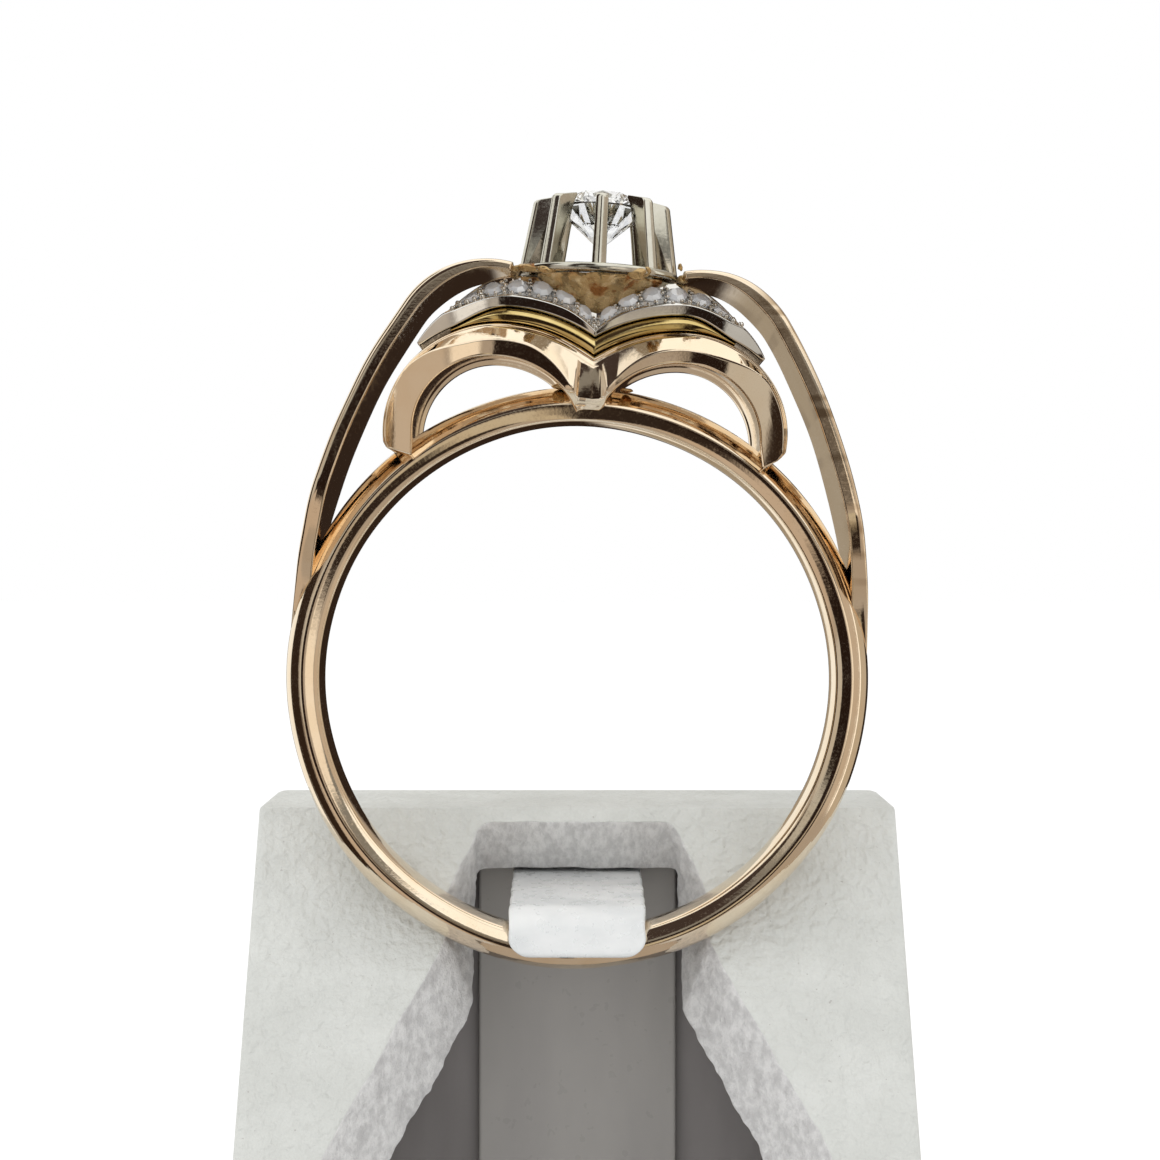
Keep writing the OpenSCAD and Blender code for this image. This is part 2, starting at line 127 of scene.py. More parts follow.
def quads(rows, columns, round_rows=False, round_columns=True):
    """Four-sided faces over a grid of points, closed round along either way."""
    index = np.arange(rows * columns).reshape(rows, columns)
    if round_rows:
        index = np.vstack([index, index[:1]])
    if round_columns:
        index = np.hstack([index, index[:, :1]])
    return np.stack([index[:-1, :-1], index[:-1, 1:], index[1:, 1:], index[1:, :-1]], -1).reshape(-1, 4)


def tube(grid, caps=True, **way):
    """Points and faces of a grid whose columns close round; the first and last rows become end faces."""
    rows, columns = grid.shape[:2]
    faces = [quads(rows, columns, **way)]
    if caps:
        faces += [np.arange(columns)[None, ::-1], (rows - 1) * columns + np.arange(columns)[None]]
    return grid.reshape(-1, 3), faces


def eased_ends(grid, r=0.05, steps=4):
    """Rounds off both ends of a grid of rows: each end row steps back by r, then moves on by r times the sine
    of an angle and in towards its middle by r times one less the cosine."""
    t = np.linspace(0, np.pi / 2, steps + 1)[:, None, None]
    ends = []
    for last, before in ((grid[0], grid[1]), (grid[-1], grid[-2])):
        aim = (last - before).mean(0)
        aim /= np.linalg.norm(aim)
        inward = last.mean(0) - last
        inward -= (inward @ aim)[:, None] * aim
        inward /= np.maximum(np.linalg.norm(inward, axis=1, keepdims=True), 1e-9)
        ends.append(last + aim * r * (np.sin(t) - 1) + inward * r * (1 - np.cos(t)))
    return np.concatenate([ends[0][::-1], grid[1:-1], ends[1]])


def outward(points, faces):
    """The faces, turned over if the volume they enclose, the sum of their triangles' triple products, is
    negative."""
    volume = 0.0
    for group in faces:
        a = points[group[:, 0]]
        for k in range(1, group.shape[1] - 1):
            volume += np.einsum("ij,ij->", a, np.cross(points[group[:, k]], points[group[:, k + 1]]))
    return faces if volume > 0 else [group[:, ::-1] for group in faces]


def unit_ball(rows, columns):
    """A ball of radius 1: rows of points between its poles, columns round it."""
    up = np.linspace(0, np.pi, rows)[1:-1, None]
    turn = np.linspace(0, 2 * np.pi, columns, endpoint=False)
    x, y = np.sin(up) * np.cos(turn), np.sin(up) * np.sin(turn)
    return np.stack(np.broadcast_arrays(x, y, np.cos(up)), -1)


def steps_along(line):
    """Distance gone along a line of points, from 0 at its first."""
    return np.concatenate([[0], np.cumsum(np.linalg.norm(np.diff(line, axis=0), axis=1))])


def piece(name, shells, finish, stands_for=(), sharp=38, tags=None):
    """One object made of closed shells, each its points and its faces, riding on the part."""
    points, faces, start = [], [], 0
    for p, f in shells:
        faces += [group + start for group in outward(p, f)]
        points.append(p)
        start += len(p)
    points = np.concatenate(points)
    sizes = np.concatenate([np.full(len(group), group.shape[1]) for group in faces])
    corners = np.concatenate([group.ravel() for group in faces])
    mesh = bpy.data.meshes.new(name)
    mesh.vertices.add(len(points))
    mesh.vertices.foreach_set("co", points.astype(np.float32).ravel())
    mesh.loops.add(len(corners))
    mesh.loops.foreach_set("vertex_index", corners.astype(np.int32))
    mesh.polygons.add(len(sizes))
    mesh.polygons.foreach_set("loop_start", np.concatenate([[0], np.cumsum(sizes)[:-1]]).astype(np.int32))
    if tags is not None:
        mesh.polygons.foreach_set("material_index", np.asarray(tags, np.int32))
    mesh.update(calc_edges=True)
    mesh.validate()
    for one in finish if isinstance(finish, (list, tuple)) else [finish]:
        mesh.materials.append(one)
    mesh.shade_smooth()
    mesh.set_sharp_from_angle(angle=math.radians(sharp))
    made = bpy.data.objects.new(name, mesh)
    bpy.context.scene.collection.objects.link(made)
    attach(made, "root")
    if stands_for:
        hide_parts(*stands_for)
    return made


# ---- Finishes ----
class Value:
    """A socket's value in a finish; sums, differences and products add Math nodes."""

    def __init__(self, finish, socket):
        self.finish, self.socket = finish, socket

    def _math(self, operation, a, b):
        return self.finish.node("ShaderNodeMath", {"operation": operation}, {0: a, 1: b})

    def __add__(self, other):
        return self._math("ADD", self, other)

    def __sub__(self, other):
        return self._math("SUBTRACT", self, other)

    def __rsub__(self, other):
        return self._math("SUBTRACT", other, self)

    def __mul__(self, other):
        return self._math("MULTIPLY", self, other)

    __radd__, __rmul__ = __add__, __mul__


class Nodes:
    """A material's or the surroundings' nodes."""

    def __init__(self, owner, coordinates):
        owner.use_nodes = True
        self.tree = owner.node_tree
        self.tree.nodes.clear()
        self.place = self.node("ShaderNodeTexCoord", out=coordinates)

    def node(self, kind, settings=None, sockets=None, out=0):
        """Adds a node: its settings first, then its sockets' values or links; gives one of its outputs."""
        made = self.tree.nodes.new(kind)
        for key, value in (settings or {}).items():
            setattr(made, key, value)
        for key, value in (sockets or {}).items():
            if isinstance(value, Value):
                self.tree.links.new(value.socket, made.inputs[key])
            else:
                made.inputs[key].default_value = value
        return None if out is None else Value(self, made.outputs[out])

    def stretched(self, scale=(1, 1, 1), turn=(0, 0, 0)):
        return self.node("ShaderNodeMapping", None, {"Vector": self.place, "Scale": scale, "Rotation": turn})

    def noise(self, size_mm, detail=3.0, place=None, rough=0.5):
        """Cloudy noise from 0 to 1 whose lumps are about size_mm across."""
        return self.node("ShaderNodeTexNoise", None, {
            "Vector": place or self.place, "Scale": 1 / (size_mm * MM), "Detail": detail, "Roughness": rough})

    def cells(self, size_mm, feature="F1", out="Distance", place=None):
        return self.node("ShaderNodeTexVoronoi", {"feature": feature}, {
            "Vector": place or self.place, "Scale": 1 / (size_mm * MM), "Randomness": 1.0}, out)

    def between(self, value, low, high, to_low=0.0, to_high=1.0):
        """Maps low..high smoothly onto to_low..to_high."""
        return self.node("ShaderNodeMapRange", {"interpolation_type": "SMOOTHSTEP"},
                         {0: value, 1: low, 2: high, 3: to_low, 4: to_high})

    def mixed(self, amount, a, b):
        full = [v if isinstance(v, Value) else (*v, 1.0) for v in (a, b)]
        return self.node("ShaderNodeMix", {"data_type": "RGBA"}, {0: amount, 6: full[0], 7: full[1]}, 2)

    def relief(self, height, depth_mm, strength=1.0, under=None):
        sockets = {"Height": height, "Distance": depth_mm * MM, "Strength": strength}
        if under is not None:
            sockets["Normal"] = under
        return self.node("ShaderNodeBump", None, sockets)


class Finish(Nodes):
    """One material. Constants go straight onto its shader."""

    def __init__(self, name, **constants):
        self.material = bpy.data.materials.new(name)
        super().__init__(self.material, "Object")
        self.shader = self.tree.nodes.new("ShaderNodeBsdfPrincipled")
        out = self.tree.nodes.new("ShaderNodeOutputMaterial")
        self.tree.links.new(self.shader.outputs[0], out.inputs[0])
        for socket, value in constants.items():
            self.shader.inputs[socket.replace("_", " ")].default_value = value

    def feed(self, socket, value):
        self.tree.links.new(value.socket, self.shader.inputs[socket])


def polished(name, light, deep, rough=(0.05, 0.14), scratch=0.0012, strokes=None):
    """Polished precious metal: faint cloudy tint, hair scratches two ways and duller worn patches. Strokes,
    slanting over a strap, are darker."""
    f = Finish(name, Metallic=1.0)
    colour = f.mixed(f.between(f.noise(1.6, 4.0), 0.35, 0.7), light, deep)
    if strokes:
        slant = f.noise(0.4, 0.0, f.stretched((0.1, 0.02, 1.0), (0.1, 0, 0)))
        patchy = f.between(f.noise(2.5, 0.0), 0.35, 0.7)
        colour = f.mixed(f.between(slant, 0.5, 0.66) * patchy * 0.7, colour, strokes)
    f.feed("Base Color", colour)
    hair = f.noise(0.09, 2.0, f.stretched((1, 0.06, 1), (0.3, 0.1, 0.5)))
    hair2 = f.noise(0.07, 2.0, f.stretched((0.06, 1, 1), (0.2, 0.6, -0.4)))
    worn = f.between(f.noise(0.8, 5.0), 0.48, 0.72)
    f.feed("Roughness", f.between(hair, 0.4, 0.75, rough[0], rough[1]) + worn * 0.05)
    f.feed("Normal", f.relief(hair + hair2 * 0.7, scratch, 0.6, f.relief(f.noise(0.9, 1.0), 0.004, 0.5)))
    return f.material


def cut_bed(name):
    """Bright-cut metal between the stones: small facets, each painted lighter or darker at random as painted
    glints where facets would catch the light, with painted shade darkening the cuts between."""
    f = Finish(name, Metallic=0.45)
    facet = f.node("ShaderNodeSeparateColor", None, {"Color": f.cells(0.2, out="Color")})
    cuts = f.between(f.cells(0.2, "DISTANCE_TO_EDGE"), 0.0, 0.1)
    # painted glints: each facet's colour runs from grey to near white at random, standing in for facets
    # catching the light
    painted_glint_tone = f.mixed(facet, (0.55, 0.55, 0.54), (0.97, 0.97, 0.95))
    # painted shade: the cuts between the facets are darkened in the colour
    f.feed("Base Color", f.mixed(cuts, (0.22, 0.215, 0.21), painted_glint_tone))
    f.feed("Roughness", f.between(f.noise(0.2, 3.0), 0.3, 0.7, 0.08, 0.3))
    f.feed("Normal", f.relief(facet * 0.8 + cuts, 0.02, 0.9))
    return f.material


def solder(name):
    """Melted yellow solder left matt, with brown scale in its pits."""
    f = Finish(name, Metallic=0.85)
    blotch = f.between(f.noise(0.7, 4.0), 0.52, 0.62)
    cream = f.between(f.noise(0.5, 3.0), 0.55, 0.75)
    clean = f.mixed(cream, (0.52, 0.36, 0.17), (0.74, 0.58, 0.35))
    f.feed("Base Color", f.mixed(blotch, clean, (0.30, 0.13, 0.04)))
    f.feed("Roughness", f.between(f.noise(0.3, 3.0), 0.3, 0.7, 0.16, 0.36))
    f.feed("Normal", f.relief(f.noise(0.5, 2.0), 0.05, 0.8))
    return f.material


def gem(name, tint, clear=1.0):
    """Cut diamond; the small stones get less clear, so that their closed backs do not turn them black."""
    f = Finish(name, IOR=2.42, Roughness=0.0, Transmission_Weight=clear)
    f.feed("Base Color", f.mixed(f.noise(0.5, 2.0), tint, (1, 1, 1)))
    return f.material


def leather_grain():
    """Moulded leather grain: small pebbles with creases between them darkened as painted shade, a few specks
    and faint mottling.
    """
    f = Finish("white_leather_grain", Specular_IOR_Level=0.35)
    bent = f.node("ShaderNodeVectorMath", {"operation": "MULTIPLY_ADD"}, {
        0: f.node("ShaderNodeTexNoise", None, {"Vector": f.place, "Scale": 1400.0, "Detail": 2.0}, "Color"),
        1: (0.0005, 0.0005, 0.0005), 2: f.place})
    pebbles = f.cells(0.42, "SMOOTH_F1", place=bent)
    creases = f.cells(0.7, "DISTANCE_TO_EDGE", place=bent)
    mottle = f.between(f.noise(2.2, 5.0), 0.3, 0.75)
    speck = f.between(f.noise(0.16, 1.0), 0.76, 0.8)
    colour = f.mixed(mottle, (0.60, 0.61, 0.58), (0.66, 0.67, 0.64))
    # painted shade: the creases between the pebbles are darkened in the colour
    colour = f.mixed(f.between(creases, 0.0, 0.09, 0.12, 0.0), colour, (0.50, 0.50, 0.48))
    f.feed("Base Color", f.mixed(speck * 0.6, colour, (0.38, 0.36, 0.34)))
    f.feed("Roughness", f.between(pebbles, 0.1, 0.6, 0.46, 0.62))
    height = f.noise(0.3, 5.0) * 1.2 - pebbles * 0.4 + f.between(creases, 0.0, 0.25) * 0.25
    f.feed("Normal", f.relief(height, 0.11, 0.9))
    return f.material


def torn_board():
    """Rough sawn edge: pale grey fibres with glassy flecks and darker tears."""
    f = Finish("rough_cut_edge", Specular_IOR_Level=0.5)
    fibres = f.noise(0.25, 6.0, f.stretched((1, 0.35, 0.6), (0.5, 0.2, 0.6)), 0.65)
    tears = f.between(f.noise(0.7, 5.0), 0.5, 0.68)
    colour = f.mixed(f.between(fibres, 0.35, 0.65), (0.56, 0.555, 0.55), (0.74, 0.735, 0.725))
    f.feed("Base Color", f.mixed(tears * 0.35, colour, (0.42, 0.41, 0.41)))
    f.feed("Roughness", f.between(fibres, 0.3, 0.7, 0.6, 0.3))
    f.feed("Normal", f.relief(fibres + f.noise(0.08, 2.0) * 0.3, 0.09, 0.9))
    return f.material


def shaded_moulding(name, light, deep, rough):
    """Inside of the moulding: even grey plastic with faint flow marks, its grey darkened as painted shade."""
    f = Finish(name)
    flow = f.noise(3.0, 4.0, f.stretched((1, 1, 0.25)))
    f.feed("Base Color", f.mixed(f.between(flow, 0.3, 0.7), light, deep))
    f.feed("Roughness", f.between(f.noise(0.5, 3.0), 0.3, 0.7, rough - 0.08, rough + 0.08))
    f.feed("Normal", f.relief(f.noise(0.15, 2.0), 0.01, 0.4))
    return f.material


def frosted():
    """Clear plastic, scuffed milky: soft streaks and small scratches."""
    f = Finish("frosted_plastic", Transmission_Weight=0.15, IOR=1.46)
    milk = f.noise(1.2, 4.0, f.stretched((0.5, 1, 1)))
    f.feed("Base Color", f.mixed(f.between(milk, 0.35, 0.7), (0.78, 0.80, 0.80), (0.92, 0.93, 0.92)))
    f.feed("Roughness", f.between(f.noise(0.4, 4.0), 0.3, 0.7, 0.22, 0.5))
    f.feed("Normal", f.relief(f.noise(1.5, 2.0), 0.08, 0.6))
    return f.material


ROSE_TONES = (0.93, 0.80, 0.635), (0.90, 0.745, 0.56)
ROSE = polished("rose_gold", *ROSE_TONES)
STROKED = polished("stroked_rose_gold", *ROSE_TONES, strokes=(0.36, 0.24, 0.13))
YELLOW = polished("yellow_gold", (0.82, 0.66, 0.32), (0.66, 0.50, 0.20))
WHITE = polished("white_gold", (0.86, 0.85, 0.83), (0.76, 0.75, 0.72), (0.04, 0.14))
FINS = polished("brushed_white_gold", (0.68, 0.665, 0.60), (0.56, 0.545, 0.47), (0.09, 0.17), 0.002)
BED = cut_bed("cut_white_gold")
SOLDER = solder("gold_solder")
DIAMOND = gem("diamond", (0.94, 0.97, 1.0))
SMALL = gem("small_diamond", (0.94, 0.95, 0.97), 0.35)
GRAIN, TORN = leather_grain(), torn_board()
# painted shade: grey plastic, coloured dark to stand for the shadow inside the stand
SHADED_INSIDE = shaded_moulding("grey_inside_painted_shade", (0.30, 0.28, 0.275), (0.23, 0.215, 0.21), 0.5)
# painted shade: the clip's strip is the tongue's plastic, coloured grey for the shade it sits in
SHADED_STRIP = shaded_moulding("grey_strip_painted_shade", (0.44, 0.425, 0.40), (0.38, 0.365, 0.35), 0.35)
FROST = frosted()


# ---- Shank ----
def shank():
    """A D section, half round outside and softly hollow inside, carried round the finger hole's circle."""
    half = SHANK_W / 2
    crown_end = math.degrees(math.asin(half / CROWN_R))
    crown = arc((BORE_R + SHANK_T - CROWN_R, 0), CROWN_R, np.linspace(-crown_end, crown_end, 15))
    comfort_end = math.degrees(math.asin((half - 0.15) / COMFORT_R))
    inner = arc((BORE_R + COMFORT_R, 0), COMFORT_R, np.linspace(180 - comfort_end, 180 + comfort_end, 7))
    cut = np.concatenate([[0.16], np.full(13, 0.05), [0.16], [0.2], np.full(5, 0.1), [0.2]])
    section = rounded(np.concatenate([crown, inner]), cut, 4)
    turn = np.linspace(0, 2 * np.pi, 360, endpoint=False)[:, None]
    r, y = section[:, 0], section[:, 1]
    grid = np.stack(np.broadcast_arrays(r * np.cos(turn), y, r * np.sin(turn)), -1)
    wobble = ripple(grid, 6.0, 3) * 0.012
    grid = grid * (1 + wobble[..., None] * (1, 0, 1) / BORE_R)
    return tube(in_row(grid), caps=False, round_rows=True)


piece("shank", [shank()], ROSE, ["ring_frame"])


# ---- Shoulder straps ----
def strap(side):
    """A flat section with eased edges, carried up a long arc and over a tight bend; from a narrow tail that
    sinks into the shank it widens towards the head, and it thins towards its end."""
    low, high = np.linspace(-2, BEND_ANGLE, 90), np.linspace(BEND_ANGLE + 2, STRAP_END_ANGLE, 60)
    bend = np.repeat([False, True], [len(low), len(high)])[:, None]
    degrees = np.concatenate([low, high])[:, None]
    centre = np.where(bend[..., None], BEND_C, LONG_C)
    outer_r = np.where(bend, BEND_R, STRAP_R)
    turn = np.radians(degrees)
    height = centre[..., 1] + outer_r * np.sin(turn)
    half = STRAP_TAIL + (STRAP_W / 2 - STRAP_TAIL) * ease(1.5, 6.5, height)
    thin = STRAP_T + (STRAP_END_T - STRAP_T) * ease(45, 98, degrees) * bend
    corners = np.array([[0.0, 1], [1.0, 1], [1.0, -1], [0.0, -1]])
    about = (0.6, 2.0)
    section = rounded(corners * about, [0.24, 0.07, 0.07, 0.24], 7) / about
    depth, across = section[:, 0], section[:, 1]
    r = outer_r - thin * depth - 0.05 * across ** 2 * (1 - depth)
    grid = np.stack(np.broadcast_arrays(centre[..., 0] + r * np.cos(turn), across * half,
                                        centre[..., 1] + r * np.sin(turn)), -1)
    grid = eased_ends(grid, 0.07)
    grid = grid + ripple(grid, 2.5, 11 + side)[..., None] * (0.012, 0, 0.012)
    return tube(in_row(grid * (side, 1, 1)))


for side, word, finish in ((-1, "left", ROSE), (1, "right", STROKED)):
    piece(f"strap_{word}", [strap(side)], finish, ["ring_frame"])


# ---- Head tiers ----
def tier(side, u, n):
    """A point of one half, n above the wave's upper curve: u 0 to 1 up the rising arc from the middle, past 1
    down the falling one by 45 degrees for each 1; n moves both arcs out from their centres. The left one is
    wider."""
    u, n = np.broadcast_arrays(u, n)
    r = 3.85 if side < 0 else 3.55
    rise = np.degrees(np.arcsin(CREST_X / (RISE_R + n))) * (1 - np.minimum(u, 1))
    up = arc(RISE_C, RISE_R + n, 90 + rise)
    down = arc((CREST_X, WAVE_TOP - r), r + n, 90 - 45 * np.maximum(u - 1, 0))
    return np.where((u <= 1)[..., None], up, down)


def flare(x, setback):
    """Half depth along the finger: straight over the crests, then out along a circle, less a setback."""
    out = np.maximum(np.abs(x) - FLARE_FROM, 0)
    return HALF_DEPTH + FLARE_R - np.sqrt(FLARE_R ** 2 - np.minimum(out, FLARE_REACH) ** 2) - setback


def both_halves(half):
    """The right half's rows, and before them the left half's, turned over, from the far end to the middle."""
    return np.concatenate([(half(-1) * (-1, 1, 1))[:0:-1], half(1)])


def wave_half(side):
    """Between the tier's upper curve and a round arch below it. v runs to 0.06 over the foot, to 0.4 up to
    the crest, then down to the leg's tip. The front section runs from the hollow underside over a narrow
    lower face to a ridge, up a bevel and over a small lip; the ridge climbs to the top at the side."""
    v = np.concatenate([np.linspace(0, 0.06, 4), np.linspace(0.07, 1, 110)])
    top = tier(side, np.where(v < 0.4, v / 0.4, 1 + 98 / 45 * (np.minimum(v, 0.96) - 0.4) / 0.56), 0.0)
    crest, high, rise_r, fall_r = (3.4, 10.92, 3.3, 2.6) if side < 0 else (CREST_X, 11.0, 3.2, 2.65)
    tip = ((6.8, 7.52), (5.98, 7.36)) if side < 0 else ((6.4, 7.8), (5.9, 7.5))
    steep = math.degrees(math.asin((crest - 0.5) / rise_r))
    low = arc((crest, high - rise_r), rise_r, 90 + steep * (1 - (v - 0.06) / 0.34))
    fall = arc((crest, high - fall_r), fall_r, 90 * (1 - (np.minimum(v, 0.9) - 0.4) / 0.5))
    low = np.where((v > 0.4)[:, None], fall, low)
    start = low[np.argmax(v >= 0.06)]
    foot = np.stack([np.interp(v, [0, 0.03, 0.06], [0, 0.4, start[0]]),
                     np.interp(v, [0, 0.03, 0.06], [FOOT_Z, FOOT_Z, start[1]])], -1)
    low = np.where((v < 0.06)[:, None], foot, low)
    top = top + (np.array(tip[0]) - top[-1]) * np.clip((v - 0.96) / 0.04, 0, 1)[:, None]
    low = low + (np.array(tip[1]) - low[-1]) * np.clip((v - 0.9) / 0.1, 0, 1)[:, None]

    ridge = (0.14 + (0.36 if side < 0 else 0.28) * ease(0.0, 0.32, v) + 0.42 * ease(0.5, 0.74, v))[:, None]
    lip = (1 - ease(0.3, 0.5, v))[:, None]
    hollow = 0.16 * ease(0.08, 0.2, v)[:, None]
    one = np.ones_like(ridge)
    line = [(hollow, MIDDLE), (hollow, 0.6), (0.01, 0.3), (0, 0.12), (0.05, 0.035), (0.7 * ridge, 0.012),
            (ridge, 0.0), (ridge + 0.9 * (0.9 - ridge), 0.3 + 0.06 * lip), (0.92, 0.34 + 0.12 * lip),
            (0.945, 0.32 + 0.06 * lip), (1, 0.36 + 0.1 * lip), (1, MIDDLE)]
    cuts = [0, 0.12, 0.08, 0.05, 0.03, 0.1, 0.05, 0.05, 0.03, 0.03, 0.04, 0]
    front = np.array([[np.broadcast_to(value * one, one.shape)[:, 0] for value in pair] for pair in line])
    eased = rounded(front.transpose(0, 2, 1), cuts, 4, closed=False)
    t, setback = np.moveaxis(eased, -1, 0).transpose(0, 2, 1)
    t, setback = np.hstack([t, t[:, ::-1]]), np.hstack([setback, setback[:, ::-1]])
    front_or_back = np.repeat([-1.0, 1.0], t.shape[1] // 2)
    xz = low[:, None] + (top - low)[:, None] * t[..., None]
    into_shank = 0.72 * (1 - ease(FOOT_Z, 10.0, xz[..., 1])) * (1 - ease(1.0, 2.0, xz[..., 0]))
    crease = 0.12 * np.clip(1 - xz[..., 0] / 0.8, 0, 1)
    deep = np.maximum(flare(xz[..., 0], np.minimum(setback, DEEPEST)) + crease - into_shank, THINNEST)
    return np.stack([xz[..., 0], front_or_back * deep, xz[..., 1]], -1)


piece("wave", [tube(in_row(eased_ends(both_halves(wave_half), 0.09)))], ROSE, ["ring_frame"])


def arch_thick(u):
    return ARCH_T * (1 - 0.85 * ease(0.95, ARCH_LAST, u))


def wing_from(u):
    return 2 * GAP + arch_thick(u)


def swell(u):
    return np.sin(np.pi / 2 * np.clip(u / 0.42, 0, 1))


def wing_thick(u):
    """Thin in the middle of the ring, thickest before the crest, thin again at the wing's end."""
    return ((WING_T * (0.44 + 0.56 * swell(u)) - 0.18 * ease(0.6, 1, u))
            * (1 - 0.85 * np.maximum(u - 1, 0) ** 1.3))


def rim_high(u):
    return np.minimum(0.42 * (0.5 + 0.5 * swell(u)) + 0.1 * ease(1, 1.6, u), 0.93 * wing_thick(u) - 0.04)


def bed_from(u):
    return rim_high(u) + np.minimum(0.08, (wing_thick(u) - rim_high(u)) / 2)


def bed_in(u):
    return 0.78 + 0.2 * ease(1.1, 1.5, u)


def bed_point(side, u, w, up=0.0):
    """Across the bed of stones in the part's frame, w from 0 at its outer edge to 1 at its inner one."""
    setback = WING_BACK + 0.1 + (bed_in(u) - 0.1) * w
    xz = tier(side, u, wing_from(u) + bed_from(u) + (wing_thick(u) - bed_from(u)) * w + up)
    return np.stack([side * xz[..., 0], -flare(xz[..., 0], setback), xz[..., 1]], -1)


def tier_plate(section, last, cuts, ends, rows=90):
    """A plate on the tiers' curve. section gives, for a column of u, its front line from the underside's
    middle to the top's as setback, height and a mark that picks the finish; its mirror image closes it
    behind."""
    u = np.linspace(0, last, rows)[:, None]
    front = np.array([[np.broadcast_to(value, u.shape)[:, 0] for value in point] for point in section(u)])
    line = rounded(front.transpose(0, 2, 1), cuts, 4, closed=False).transpose(1, 0, 2)
    line = np.concatenate([line, line[:, ::-1]], 1)
    front_or_back = np.repeat([-1.0, 1.0], line.shape[1] // 2)

    def half(side):
        xz = tier(side, u, line[..., 1])
        deep = np.maximum(flare(xz[..., 0], np.minimum(line[..., 0], DEEPEST)), THINNEST)
        return np.stack([xz[..., 0], front_or_back * deep, xz[..., 1]], -1)

    grid = eased_ends(both_halves(half), ends)
    mark = line[0, :, 2]
    tags = np.tile((mark + np.roll(mark, -1) > 1).astype(int), len(grid) - 1)
    return tube(in_row(grid)), np.append(tags, [0, 0])


def arch_section(u):
    t, n = arch_thick(u), GAP
    return [(MIDDLE, n, 0), (0.6, n, 0), (0.42, n + 0.02 * t, 0), (0.30, n + 0.2 * t, 0),
            (0.26, n + 0.5 * t, 0), (0.30, n + 0.8 * t, 0), (0.40, n + t, 0), (MIDDLE, n + t, 0)]


arch, _ = tier_plate(arch_section, ARCH_LAST, [0, 0.08, 0.1, 0.1, 0.1, 0.1, 0.05, 0], 0.03)
piece("gallery_arch", [arch], YELLOW, ["gallery"])


def wing_section(u):
    """Underside, polished front face, bright lower rim, sunk bed for the stones, raised and bevelled upper
    rim."""
    rim, low, back = rim_high(u), bed_from(u), WING_BACK + bed_in(u)
    n, top = wing_from(u), wing_thick(u) + 0.22 * (1 - ease(0, 0.35, u))
    bed = ease(0.0, 0.2, top - low)
    return [(MIDDLE, n, 0), (0.32, n, 0), (0.2, n + 0.03, 0), (0.175, n + 0.5 * rim, 0),
            (0.155, n + rim - 0.06 * bed, 0), (0.21, n + rim, 0), (0.27, n + rim + 0.01, 0),
            (0.31, n + low - 0.05 * bed, 1), (back - 0.10, n + top - 0.34 * bed, 1),
            (back - 0.08, n + top - 0.26 * bed, 0), (back - 0.05, n + top - 0.02, 0),
            (back, n + top + 0.02, 0), (back + 0.24, n + top - 0.03, 0), (MIDDLE, n + top - 0.03, 0)]


WING_CUTS = [0, 0.05, 0.04, 0.05, 0.03, 0.03, 0.02, 0.03, 0.02, 0.02, 0.03, 0.03, 0.03, 0]
wings, marks = tier_plate(wing_section, 2, WING_CUTS, 0.05)
piece("wing_plates", [wings], [WHITE, BED], ["wings"], tags=marks)


def beads():
    """Grains of metal raised round the stones: small balls scattered over the bed, most of them between
    stones. Each place of one is a slip along the row and a share w of the way across the bed."""
    ball = unit_ball(6, 8)
    places = (0, 0.05), (0.04, 0.25), (-0.04, 0.45), (0.05, 0.62), (0, 0.8), (0.32, 0.0), (-0.3, 0.03)
    bed_end = 1.93
    rng = np.random.default_rng(8)
    shells = []
    for side in (-1, 1):
        steps = np.linspace(0, 2, 400)
        gone = steps_along(bed_point(side, steps, 0.5))
        for k in range(STONES_A_ROW + 1):
            for slip, w in places:
                along = SMALL_FIRST + SMALL_PITCH * (k - 0.5) + slip + rng.uniform(-0.05, 0.05)
                u = np.interp(along, gone, steps)
                if u > bed_end:
                    continue
                for back in (1, -1):
                    centre = bed_point(side, u, w + rng.uniform(-0.05, 0.05), rng.uniform(-0.03, 0.0))
                    shape = ball * rng.uniform(0.05, 0.1) * rng.uniform(0.7, 1.3, 3)
                    shells.append(tube(in_row(shape + centre * (1, back, 1))))
    return shells


piece("wing_beads", beads(), WHITE, sharp=60)


# ---- Seat cone and collet ----
def turned(profile, count=72, lumps=0.0, seed=1):
    """A line of (radius, height) points turned round the head's axis, with a little random relief."""
    turn = np.linspace(0, 2 * np.pi, count, endpoint=False)
    r, z = np.asarray(profile, float).T[:, :, None]
    grid = np.stack(np.broadcast_arrays(r * np.cos(turn), r * np.sin(turn), z), -1)
    if lumps:
        grid = grid * (1 + ripple(grid, 0.9, seed)[..., None] * lumps * (1, 1, 0))
    return grid


def seat_cone():
    line = rounded([(0.2, 11.75), (0.45, 11.9), (0.95, 12.62), (2.34, 13.79), (2.36, 13.89), (1.6, 13.89)],
                   [0, 0.15, 0.3, 0.05, 0.02, 0], 8, closed=False)
    return tube(in_row(turned(line, 96, 0.05, 5)))


cone = seat_cone()
piece("seat_cone", [cone], [SOLDER, FINS], ["gallery"],
      tags=np.repeat([0, 1], [len(cone[1][0]) - 96, 98]))


def inset(outline, distance):
    """Moves each point of a closed outline inwards, along the mean of its two sides' normals."""
    ahead, behind = np.roll(outline, -1, 0) - outline, outline - np.roll(outline, 1, 0)
    normal = 0
    for way in (ahead, behind):
        length = np.maximum(np.linalg.norm(way, axis=1, keepdims=True), 1e-9)
        normal = normal + np.stack([-way[:, 1], way[:, 0]], -1) / length
    normal /= np.maximum(np.linalg.norm(normal, axis=1, keepdims=True), 1e-9)
    return outline + normal * distance


